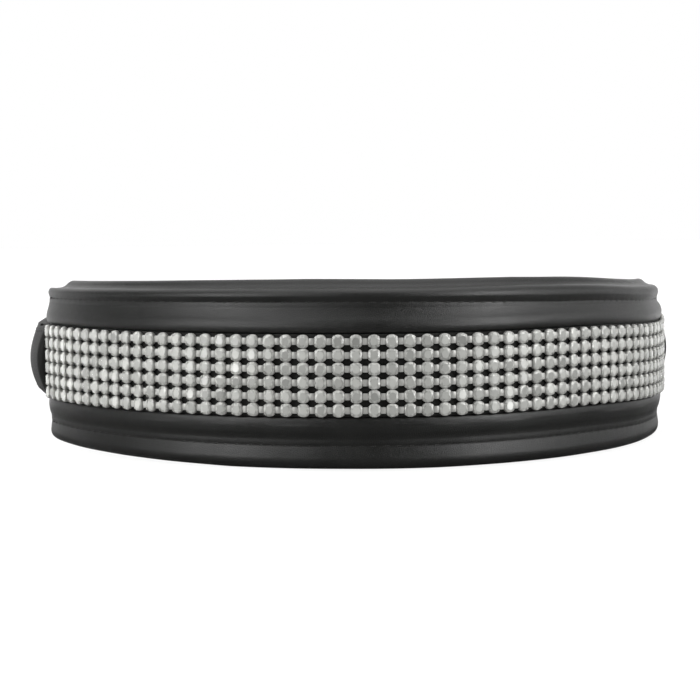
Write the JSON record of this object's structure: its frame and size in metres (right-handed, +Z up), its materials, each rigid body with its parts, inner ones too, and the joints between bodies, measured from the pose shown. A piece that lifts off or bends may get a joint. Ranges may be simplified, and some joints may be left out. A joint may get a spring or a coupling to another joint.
{
  "type": "padded browband of a snaffle bridle",
  "caption": "Wide padded leather browband with rolled edges and a raised inlay of linked crystals, a loop at each end for the headpiece.",
  "frame": {"origin": "under the middle of the whole band's box, on the plane that its lower roll stands on", "axes": "+Z up as the band stands, -Y out of the crystals at the middle of the front, +Y towards the open end with the loops, +X to the wearer's side shown right in a front view"},
  "size_m": [0.1868, 0.1536, 0.0472],
  "materials": {
    "black_leather": "black bridle leather, fine grain, waxed to a soft gloss",
    "lining_leather": "soft black lining leather, matt",
    "foam": "closed-cell foam padding",
    "cotton_cord": "twisted cotton piping cord",
    "backing_tape": "black woven tape",
    "crystal_chain": "clear faceted crystals in linked silver-plated cups",
    "silver_plate": "silver-plated brass cups and links",
    "black_thread": "waxed black thread"
  },
  "bodies": {
    "band": {"panel_face": "black_leather", "panel_lining": "lining_leather", "foam_pad": "foam", "upper_roll_cord": "cotton_cord", "lower_roll_cord": "cotton_cord", "ridge_filler": "foam", "crystal_tape": "backing_tape", "crystal_chain_row_1": "crystal_chain", "crystal_chain_row_2": "crystal_chain", "crystal_chain_row_3": "crystal_chain", "crystal_chain_row_4": "crystal_chain", "crystal_chain_row_5": "crystal_chain", "crystal_chain_row_6": "crystal_chain", "upper_crease_stitching": "black_thread", "lower_crease_stitching": "black_thread", "left_strap_end": "black_leather", "right_strap_end": "black_leather"},
    "left_end": {"left_loop": "black_leather", "left_loop_stitching": "black_thread"},
    "right_end": {"right_loop": "black_leather", "right_loop_stitching": "black_thread"}
  },
  "joints": [
    {"name": "left_loop_flex", "type": "hinge", "parent": "band", "child": "left_end", "pos_m": [-0.09123, 0.02542, 0.0234], "axis": [0, 0, -1], "range_deg": [-20, 30], "stiffness_Nm_per_rad": 0.02},
    {"name": "right_loop_flex", "type": "hinge", "parent": "band", "child": "right_end", "pos_m": [0.09123, 0.02542, 0.0234], "axis": [0, 0, 1], "range_deg": [-20, 30], "stiffness_Nm_per_rad": 0.02}
  ]
}
